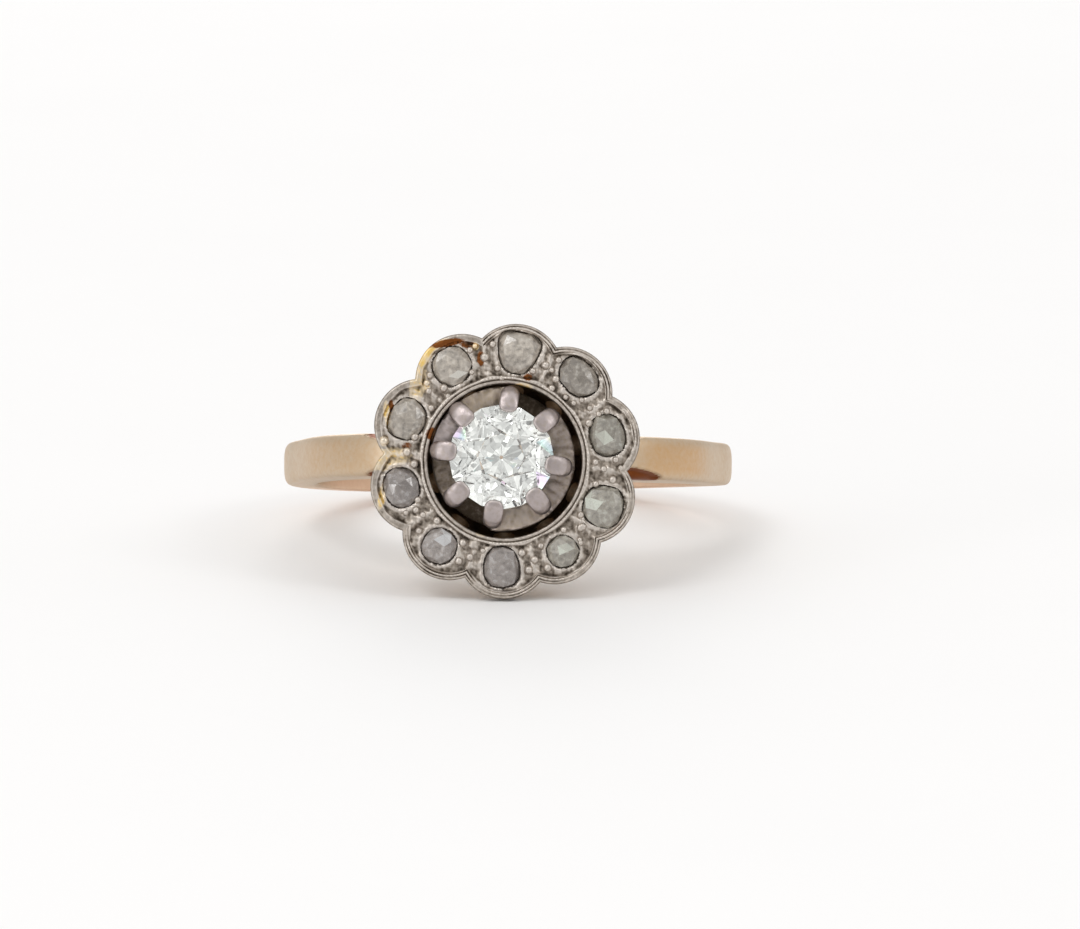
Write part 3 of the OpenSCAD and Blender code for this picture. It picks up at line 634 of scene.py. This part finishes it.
grains = {
    1: [(494, 344), (486, 357, 8), (499, 368), (503, 378, 5), (534, 371), (547, 365, 7), (553, 370, 5)],
    2: [(560, 360), (557, 379, 7), (546, 365), (553, 388), (567, 397, 5), (575, 403, 5), (583, 400, 5), (591, 408, 5)],
    3: [(590, 423, 7), (608, 411), (597, 462, 6), (617, 460, 6), (600, 414, 5)],
    4: [(605, 469), (597, 484, 6), (614, 480, 7), (622, 468, 5), (582, 515, 6), (582, 528, 7), (581, 540, 5)],
    5: [(565, 530), (584, 527, 7), (542, 546), (536, 560, 7), (549, 568, 7), (582, 543, 5)],
    6: [(484, 551, 5), (523, 553, 7), (535, 560), (530, 570, 7), (548, 567)],
    7: [(420, 531), (438, 521, 7), (464, 543, 7), (471, 557, 7), (460, 561, 7), (424, 515, 6), (407, 513, 5)],
    8: [(408, 452, 8), (415, 464, 7), (419, 500, 6), (417, 510, 6)],
    9: [(385, 441, 8), (416, 437, 7), (432, 408, 6)],
    10: [(471, 350, 6), (476, 346, 5), (431, 375, 6), (428, 383, 6), (445, 388, 7), (430, 391, 6), (473, 372, 5), (449, 396, 5)],
}


def makeGrains():
    pattern = newPiece("grainPattern", bpy.ops.mesh.primitive_ico_sphere_add, subdivisions=2, radius=1)
    pick = np.random.default_rng(8)
    made = []
    for petal, row in grains.items():
        for spot in row:
            x, y = photoSpot(spot[0], spot[1])
            radius = (spot[2] if len(spot) > 2 else 6) / head["pixelsPerMm"] / 2 * 1.22
            grain = copyPiece(pattern, "grain")
            points = pointsOf(grain) * (radius * np.array([1, 1, 0.95]))
            points *= 1 + pick.uniform(-0.05, 0.05, points.shape)
            points += (x + head["middle"][0], y + head["middle"][1], head["rim"] - 0.08 + pick.uniform(-0.02, 0.02))
            movePoints(grain, points)
            paint(grain, "polishAndHighlight", np.full(len(points), 0.8))
            paint(grain, "gilt", np.full(len(points), float(patchShare(np.array(x), np.array(y), "gilt")) * 0.8))
            made.append(grain)
    bpy.data.objects.remove(pattern)
    piece = joinPieces(made, "settingGrains")
    paint(piece, "crevice", np.zeros(len(piece.data.vertices)))
    paint(piece, "rustAndShade", np.zeros(len(piece.data.vertices)))
    finishPiece(piece, whiteMetal, ["cluster"], 180)


makeGrains()
print("grains set")


# collet: a tapered wall cut down between its eight claws

collet = {"middle": (-0.241, -0.14), "foot": 9.46, "footOuter": 2.35, "footInner": 1.75, "topOuter": 3.15, "topInner": 2.22,
          "shoulder": 12.75, "girdle": 13.15, "columns": 480, "clawWide": 0.84, "clawThick": 0.30}
claws = [  # angle, width, length past the even one, then the gap that follows it: depth, painted shade and gilt
    (-9, 0.84, 0.04, 0.6, 0.3, 0.2), (39, 0.84, 0.0, 1.5, 0.75, 0.3), (82, 0.82, 0.0, 0.5, 0.05, 0.4), (133, 0.84, -0.02, 0.5, 0.0, 0.0),
    (174, 0.84, 0.02, 0.9, 0.5, 0.3), (220, 0.86, 0.02, 1.5, 0.75, 0.3), (262, 0.84, 0.06, 0.5, 0.0, 0.3), (310, 0.86, 0.06, 0.6, 0.25, 0.2)]


def makeColletWall():
    columns = collet["columns"]
    turn = np.arange(columns) * math.tau / columns
    topZ = np.full(columns, collet["shoulder"])
    gapShade, gilt = np.zeros(columns), np.zeros(columns)
    for number, claw in enumerate(claws):
        following = claws[(number + 1) % len(claws)][0] + (360 if number == len(claws) - 1 else 0)
        middle, half = math.radians((claw[0] + following) / 2), math.radians((following - claw[0]) / 2)
        off = (turn - middle + math.pi) % math.tau - math.pi
        dip = collet["girdle"] - claw[3]
        here = dip + (collet["shoulder"] - dip) * np.clip(np.abs(off) / half, 0, 1) ** 7
        topZ = np.where(np.abs(off) < half, np.minimum(topZ, here), topZ)
        gapShade = np.where(np.abs(off) < half, claw[4], gapShade)
        gilt = np.where(np.abs(off) < half, claw[5], gilt)
    foot = collet["foot"]

    def wallAt(z, outer):
        share = (z - foot) / (collet["shoulder"] - foot)
        first, last = (collet["footOuter"], collet["topOuter"]) if outer else (collet["footInner"], collet["topInner"])
        wider = 0.09 * np.cos(turn + 0.8) * smooth(0.5, 0.9, share) if outer else 0
        return first + (last - first) * (share + 0.10 * np.sin(math.pi * np.clip(share, 0, 1))) + wider

    rows = []
    for share in (0, 0.02, 0.2, 0.4, 0.6, 0.8, 0.93, 0.985):
        z = foot + (topZ - foot) * share
        rows.append((wallAt(z, True) - (0.03 if share == 0 else 0), z))
    outer, inner = wallAt(topZ, True), wallAt(topZ, False)
    for share, drop in ((0.05, 0.008), (0.15, 0), (0.4, 0), (0.65, 0.0), (0.85, 0.01), (0.95, 0.02)):
        rows.append((outer + (inner - outer) * share, topZ - drop))
    for share in (0.97, 0.85, 0.6, 0.3, 0.0):
        z = foot + (topZ - foot) * share
        rows.append((wallAt(z, False), z))
    rows.append(((collet["footOuter"] + collet["footInner"]) / 2 + 0 * turn, foot + 0 * turn))
    radius, level = np.stack([r for r, z in rows]), np.stack([z for r, z in rows])
    x, y = radius * np.cos(turn), radius * np.sin(turn)
    level = level + (0.03 * handWork(x, y, 0.24, 21) + 0.03 * handWork(x, y, 0.7, 22)) * smooth(12.0, 12.4, level)
    # painted shade in the gaps and darker lower down the wall under the plate, with random blotches of dirt
    piece = rolledSheet("colletWall", x + collet["middle"][0], y + collet["middle"][1], level,
                        {"crevice": np.clip(gapShade + 0.3 * np.clip(handWork(x, y, 0.16, 23), 0, 1) + 0.75 * np.clip((12.1 - level) / 0.6, 0, 1), 0, 1), "gilt": gilt + 0 * level})
    finishPiece(piece, clawMetal, ["collet"], 40)


def clawPath(share, extra):
    # middle line of a claw from its root in the wall, up and over the edge of the stone
    stops = np.array([[0, 2.46, 10.9], [0.3, 2.66, 12.1], [0.5, 2.74, 12.85], [0.58, 2.74, 13.1], [0.66, 2.66, 13.32],
                      [0.74, 2.5, 13.45], [0.88, 2.15, 13.545], [1.0, 1.92 - extra, 13.56]])
    return np.interp(share, stops[:, 0], stops[:, 1]), np.interp(share, stops[:, 0], stops[:, 2])


def makeClaws():
    made = []
    for number, (angle, width, extra, *gapAfter) in enumerate(claws):
        claw = newPiece("claw", bpy.ops.mesh.primitive_uv_sphere_add, segments=32, ring_count=56, radius=1)
        points = pointsOf(claw)
        share = np.degrees(np.arcsin(np.clip(points[:, 2], -1, 1))) / 180 + 0.5
        around = np.arctan2(points[:, 1], points[:, 0])
        out, up = clawPath(share, extra)
        outNext, upNext = clawPath(np.minimum(share + 0.03, 1), extra)
        outLast, upLast = clawPath(np.maximum(share - 0.03, 0), extra)
        length = np.hypot(outNext - outLast, upNext - upLast)
        alongOut, alongUp = (outNext - outLast) / length, (upNext - upLast) / length
        endWide = np.sqrt(np.clip(1 - (np.clip((share - 0.84) / 0.16, 0, 1)) ** 2, 0, 1))
        endThick = np.sqrt(np.clip(1 - (np.clip((share - 0.92) / 0.08, 0, 1)) ** 2.4, 0, 1))
        rootEnd = np.sqrt(np.clip(1 - (np.clip((0.06 - share) / 0.06, 0, 1)) ** 2, 0, 1))
        c, s = np.cos(around), np.sin(around)
        flat = smooth(0.6, 0.8, share)
        power = 1 - 0.32 * flat
        across = np.sign(s) * np.abs(s) ** power * width / 2 * endWide * rootEnd
        thick = (collet["clawThick"] / 2 + 0.22 * (1 - smooth(0.5, 0.76, share))) * endThick * rootEnd
        lift = np.sign(c) * np.abs(c) ** power * thick
        out = out - lift * -alongUp
        up = up - lift * alongOut
        turn = math.radians(angle)
        x = collet["middle"][0] + out * math.cos(turn) - across * math.sin(turn)
        y = collet["middle"][1] + out * math.sin(turn) + across * math.cos(turn)
        z = up + 0.008 * handWork(x, y, 0.3, 30 + number)
        movePoints(claw, np.stack([x, y, z], 1))
        # the bend of each tip is painted paler, polish and a painted highlight; lower down, towards the plate, each
        # claw is painted darker as shade
        paint(claw, "polishAndHighlight", 0.9 * smooth(0.93, 0.98, share) * (1 - smooth(0.985, 1.0, share)))
        paint(claw, "crevice", np.clip((12.9 - up) / 1.0, 0, 0.9))
        for name in ("gilt", "rustAndShade"):
            paint(claw, name, np.zeros(len(points)))
        made.append(claw)
    piece = joinPieces(made, "colletClaws")
    finishPiece(piece, clawMetal, ["collet"], 60)


makeColletWall()
makeClaws()
print("collet and claws made")


# band with its rising shoulders

band = {"bore": 8.5, "side": 10.0, "back": 9.8, "rise": 2.0, "riseFrom": 74, "riseTo": 26,
        "shoulderWide": 1.88, "backWide": 1.8, "neckTo": 28, "end": 20,
        "dome": 0.45, "warp": 0.08, "stations": 481, "innerRound": 0.12}
neckCuts = [  # corner of a shoulder: side of the ring, edge of the band, where its cut begins in degrees, width and depth
    (-1, 1, 32, 0.30, 0.55), (-1, -1, 31.5, 0.36, 0.55), (1, -1, 35.5, 0.55, 0.6), (1, 1, 30, 0.14, 0.4)]


def bandShape(angle):
    # outer radius and half width at an angle from the top of the head
    away = np.abs(angle)
    radius = np.where(away > 90, band["side"] + (band["back"] - band["side"]) * smooth(0, 90, away - 90),
                      band["side"] + band["rise"] * smooth(0, 1, (band["riseFrom"] - away) / (band["riseFrom"] - band["riseTo"])))
    wide = band["shoulderWide"] + (band["backWide"] - band["shoulderWide"]) * smooth(35, 180, away)
    return radius, wide / 2


def makeBand():
    stations = band["stations"]
    angle = band["end"] + (360 - 2 * band["end"]) * np.linspace(0, 1, stations)
    angle = np.where(angle > 180, angle - 360, angle)
    radius, half = bandShape(angle)
    shift = -band["warp"] * np.sin(2 * np.radians(angle))
    half = half * 0.995
    rows = []
    domeSteps = 40
    for step in range(domeSteps + 1):
        turn = math.pi * step / domeSteps
        c, s = -math.cos(turn), math.sin(turn)
        rows.append((radius + band["dome"] * (s ** 0.6 - 1) - 0.012, half * math.copysign(abs(c) ** 0.6, c)))
    low, high = band["bore"] + band["innerRound"], radius - band["dome"]
    for share in (0.85, 0.5, 0.15):
        rows.append((low + (high - low) * share, half))
    for step in range(4):
        c, s = math.cos(math.pi / 6 * step), math.sin(math.pi / 6 * step)
        rows.append((low - band["innerRound"] * s + 0.01, half - band["innerRound"] * (1 - c)))
    inner = half - band["innerRound"]
    for share in (0.6, 0.2, -0.2, -0.6):
        rows.append((band["bore"] + 0.01 + 0 * radius, inner * share))
    for step in range(3, -1, -1):
        c, s = math.cos(math.pi / 6 * step), math.sin(math.pi / 6 * step)
        rows.append((low - band["innerRound"] * s + 0.01, -half + band["innerRound"] * (1 - c)))
    for share in (0.15, 0.5, 0.85):
        rows.append((low + (high - low) * share, -half))
    out, across = np.stack([r + 0 * radius for r, a in rows]), np.stack([a for r, a in rows])
    away = np.abs(angle)[None, :] + 0 * out
    # the corners where a shoulder narrows towards the head drop away and are painted a dark red-brown as shade,
    # standing for the shadowed gold there; the band's last degrees under the head get a little of the same painted
    # shade
    rustAndShade = 0.3 * (1 - smooth(22, 25, away))
    for side, edge, begin, wide, deep in neckCuts:
        share = np.sqrt(1 - np.clip((away - band["neckTo"]) / (begin - band["neckTo"]), 0, 1)) * (np.sign(angle) == side)
        narrow = half - wide * share
        past = np.clip((across * edge - narrow) / np.maximum(wide * share, 0.02), 0, 1) * (share > 0)
        out = np.where(out > band["bore"] + 0.8, out - deep * np.minimum(past * 3, 1) * np.minimum(share * 2, 1) * (0.5 + 0.5 * past), out)
        rustAndShade = np.maximum(rustAndShade, smooth(0.02, 0.2, past) * np.minimum(share * 3, 1) * smooth(1.6, 2.4, out - band["bore"]))
    rad = np.radians(angle)
    x, y, z = out * np.sin(rad), across + shift, out * np.cos(rad)
    inside = 1 - smooth(0.05, 0.5, out - band["bore"])
    middle = (1 - smooth(0.45, 0.98, np.abs(across) / half)) * (1 - smooth(46, 62, away)) * smooth(26, 34, away)
    warm = middle * np.where(angle > 0, 0.62, 0.22) + 0.16 + 0.3 * smooth(90, 130, away)
    piece = rolledSheet("goldBand", x, y, z, {"crevice": 0.10 * inside, "gilt": warm, "rustAndShade": rustAndShade, "polishAndHighlight": smooth(95, 120, away)}, ring=False)
    finishPiece(piece, satinGold, ["shank"], 50)


makeBand()
print("band shaped")


# gallery: petal wall, basket with windows, and foot cut to the round of the finger

gallery = {"top": 12.28, "wallFoot": 11.28, "ledge": 9.43, "back": 0.14, "taper": 0.42, "basketTop": 4.9, "basketFoot": 3.4,
           "hollowTop": 3.59, "hollowFoot": 2.8, "hole": 1.58, "footRound": 8.7, "columns": 480,
           "window": 0.45, "backHole": 0.64}


def makeGallery():
    g = gallery
    columns = g["columns"]
    turn = np.arange(columns) * math.tau / columns
    flat = 0 * turn

    def footLevel(radius):
        x = radius * np.cos(turn) + head["middle"][0]
        return np.sqrt(g["footRound"] ** 2 - x ** 2)

    rows = [(petalEdge(turn, g["back"] + 0.03), g["top"] + flat)]
    for share in (0.04, 0.2, 0.4, 0.6, 0.8, 0.94):
        inset = g["back"] + g["taper"] * smooth(0, 1, share) * 1.0
        rows.append((petalEdge(turn, inset), g["top"] - (g["top"] - g["wallFoot"]) * share + flat))
    wallFoot = petalEdge(turn, g["back"] + g["taper"] + 0.04)
    basket = np.minimum(g["basketTop"], wallFoot - 0.03)
    for share in (0, 0.5, 0.9):
        rows.append((wallFoot + (basket - wallFoot) * share, g["wallFoot"] - 0.02 * share + flat))
    for share in (0.03, 0.15, 0.3, 0.45, 0.6, 0.75, 0.9, 0.98):
        bow = 0.12 * math.sin(math.pi * share)
        rows.append((g["basketTop"] + (g["basketFoot"] - g["basketTop"]) * share - bow + flat,
                     g["wallFoot"] + (g["ledge"] - g["wallFoot"]) * share + flat))
    for share in (0.1, 0.5, 0.95):
        rows.append((g["basketFoot"] + flat, g["ledge"] + (footLevel(g["basketFoot"]) - g["ledge"]) * share))
    for radius in (g["basketFoot"] - 0.04, 2.9, 2.3, g["hole"] + 0.04):
        rows.append((radius + flat, footLevel(radius)))
    for share in (0.05, 0.5, 0.95):
        rows.append((g["hole"] + flat, footLevel(g["hole"]) + (g["ledge"] - footLevel(g["hole"])) * share))
    for radius in (g["hole"] + 0.05, 2.2, g["hollowFoot"] - 0.04):
        rows.append((radius + flat, g["ledge"] + flat))
    for share in (0.05, 0.3, 0.6, 0.95):
        rows.append((g["hollowFoot"] + (g["hollowTop"] - g["hollowFoot"]) * share + flat, g["ledge"] + (g["wallFoot"] - g["ledge"]) * share + flat))
    rows.append((g["hollowTop"] + flat, g["wallFoot"] + 0.4 + flat))
    rows.append((g["hollowTop"] + flat, g["top"] - 0.03 + flat))
    rows.append((g["hollowTop"] + 0.03 + flat, g["top"] + flat))
    radius, level = np.stack([r for r, z in rows]), np.stack([z for r, z in rows])
    x, y = radius * np.cos(turn) + head["middle"][0], radius * np.sin(turn) + head["middle"][1]
    piece = rolledSheet("goldGallery", x, y, level, {})
    editAll(piece, turnOutwards)
    cutters = []
    for angle in petalRadians:
        window = newPiece("window", bpy.ops.mesh.primitive_cylinder_add, vertices=40, radius=g["window"], depth=4.4)
        middle = Vector((head["middle"][0] + math.cos(angle) * 3.95, head["middle"][1] + math.sin(angle) * 3.95, (g["ledge"] + g["wallFoot"]) / 2))
        window.data.transform(Matrix.Translation(middle) @ Matrix.Rotation(angle, 4, "Z") @ Matrix.Rotation(math.pi / 2, 4, "Y"))
        cutters.append(window)
        back = newPiece("backHole", bpy.ops.mesh.primitive_cylinder_add, vertices=40, radius=g["backHole"], depth=2.0)
        back.data.transform(Matrix.Translation((head["middle"][0] + math.cos(angle) * roseCut["distance"],
                                                head["middle"][1] + math.sin(angle) * roseCut["distance"], 11.985)))
        cutters.append(back)
    cutter = joinPieces(cutters, "galleryCutter")
    useModifier(piece, "BOOLEAN", object=cutter, operation="DIFFERENCE", solver="EXACT")
    bpy.data.objects.remove(cutter)
    points = pointsOf(piece)
    x, y, z = points[:, 0] - head["middle"][0], points[:, 1] - head["middle"][1], points[:, 2]
    # painted shade: darker where the gallery lies hidden under the plate, and a dark red-brown band of painted shade in
    # the corner at the foot of the petal wall
    hidden = (1 - smooth(3.7, 4.3, np.hypot(x, y))) * smooth(9.2, 9.6, z)
    paint(piece, "crevice", np.clip(0.4 * hidden + 0.25 * bump(z, 11.25, 0.2), 0, 1))
    paint(piece, "rustAndShade", 0.35 * bump(z, 11.2, 0.15))
    paint(piece, "polishAndHighlight", np.zeros(len(points)))
    paint(piece, "gilt", 0.2 + 0 * z)
    finishPiece(piece, satinGold, ["shank"], 35)


makeGallery()
print("gallery pierced")


# floor, light and camera

light = {"floor": (0.93, 0.925, 0.925, 1), "top": 0.84, "level": 0.73, "front": 0.50}
camera = {"lens": 286.7, "away": 0.384, "above": 11.75, "aim": (0.00143, 0.00200565, 0.00314245)}


def makeStudio():
    freshStart()
    bpy.ops.mesh.primitive_grid_add(x_subdivisions=8, y_subdivisions=8, size=5)
    floor = bpy.context.object
    floor.name = "paleFloor"
    material, tree, shader, place = startMaterial("palePaper")
    paper = noiseField(tree, place, 60, 3)
    tree.links.new(mixColour(tree, paper, light["floor"], (0.945, 0.94, 0.94, 1)), shader.inputs["Base Color"])
    shader.inputs["Roughness"].default_value = 0.9
    shader.inputs["Specular IOR Level"].default_value = 0.1
    floor.data.materials.append(material)
    world = bpy.data.worlds.new("softTent")
    bpy.context.scene.world = world
    world.use_nodes = True
    tree = world.node_tree
    ground = tree.nodes["Background"]
    way = addNode(tree, "ShaderNodeSeparateXYZ", {0: addNode(tree, "ShaderNodeTexCoord").outputs["Generated"]})
    rise = spread(tree, way.outputs["Z"], 0.0, 0.9, light["level"], light["top"])
    toFront = spread(tree, way.outputs["Y"], -0.55, -0.97, 0.0, 1.0)
    shade = mixNumber(tree, toFront, rise, light["front"])
    tree.links.new(shade, ground.inputs["Strength"])
    ground.inputs["Color"].default_value = (1.0, 0.995, 0.985, 1)
    for name, place, size, power, target in (
            ("keyPanel", (-0.25, -0.30, 0.50), 0.20, 0.6, (0, 0, 0)),
            ("fillPanel", (0.38, -0.28, 0.32), 0.14, 0.3, (0, 0, 0)),
            ("lowPanel", (-0.42, -0.35, 0.10), 0.14, 0.25, (0, 0, 0.005)),
            ("backPanel", (-0.04, 0.55, 0.26), 0.34, 0.7, (0, 0, 0))):
        bpy.ops.object.light_add(type="AREA", location=place)
        lamp = bpy.context.object
        lamp.name = name
        lamp.data.size = size
        lamp.data.energy = power
        lamp.rotation_euler = (Vector(place) - Vector(target)).to_track_quat("Z", "Y").to_euler()
    aim = Vector(camera["aim"])
    rise = math.radians(camera["above"])
    away = Vector((0, -math.cos(rise), math.sin(rise)))
    bpy.ops.object.camera_add(location=aim + away * camera["away"])
    eye = bpy.context.object
    eye.rotation_euler = (-away).to_track_quat("-Z", "Y").to_euler()
    eye.data.lens = camera["lens"]
    eye.data.sensor_width = 36
    eye.data.clip_start = 0.01
    bpy.context.scene.camera = eye
    bpy.context.scene.view_settings.view_transform = "Standard"


makeStudio()
print("studio lit")
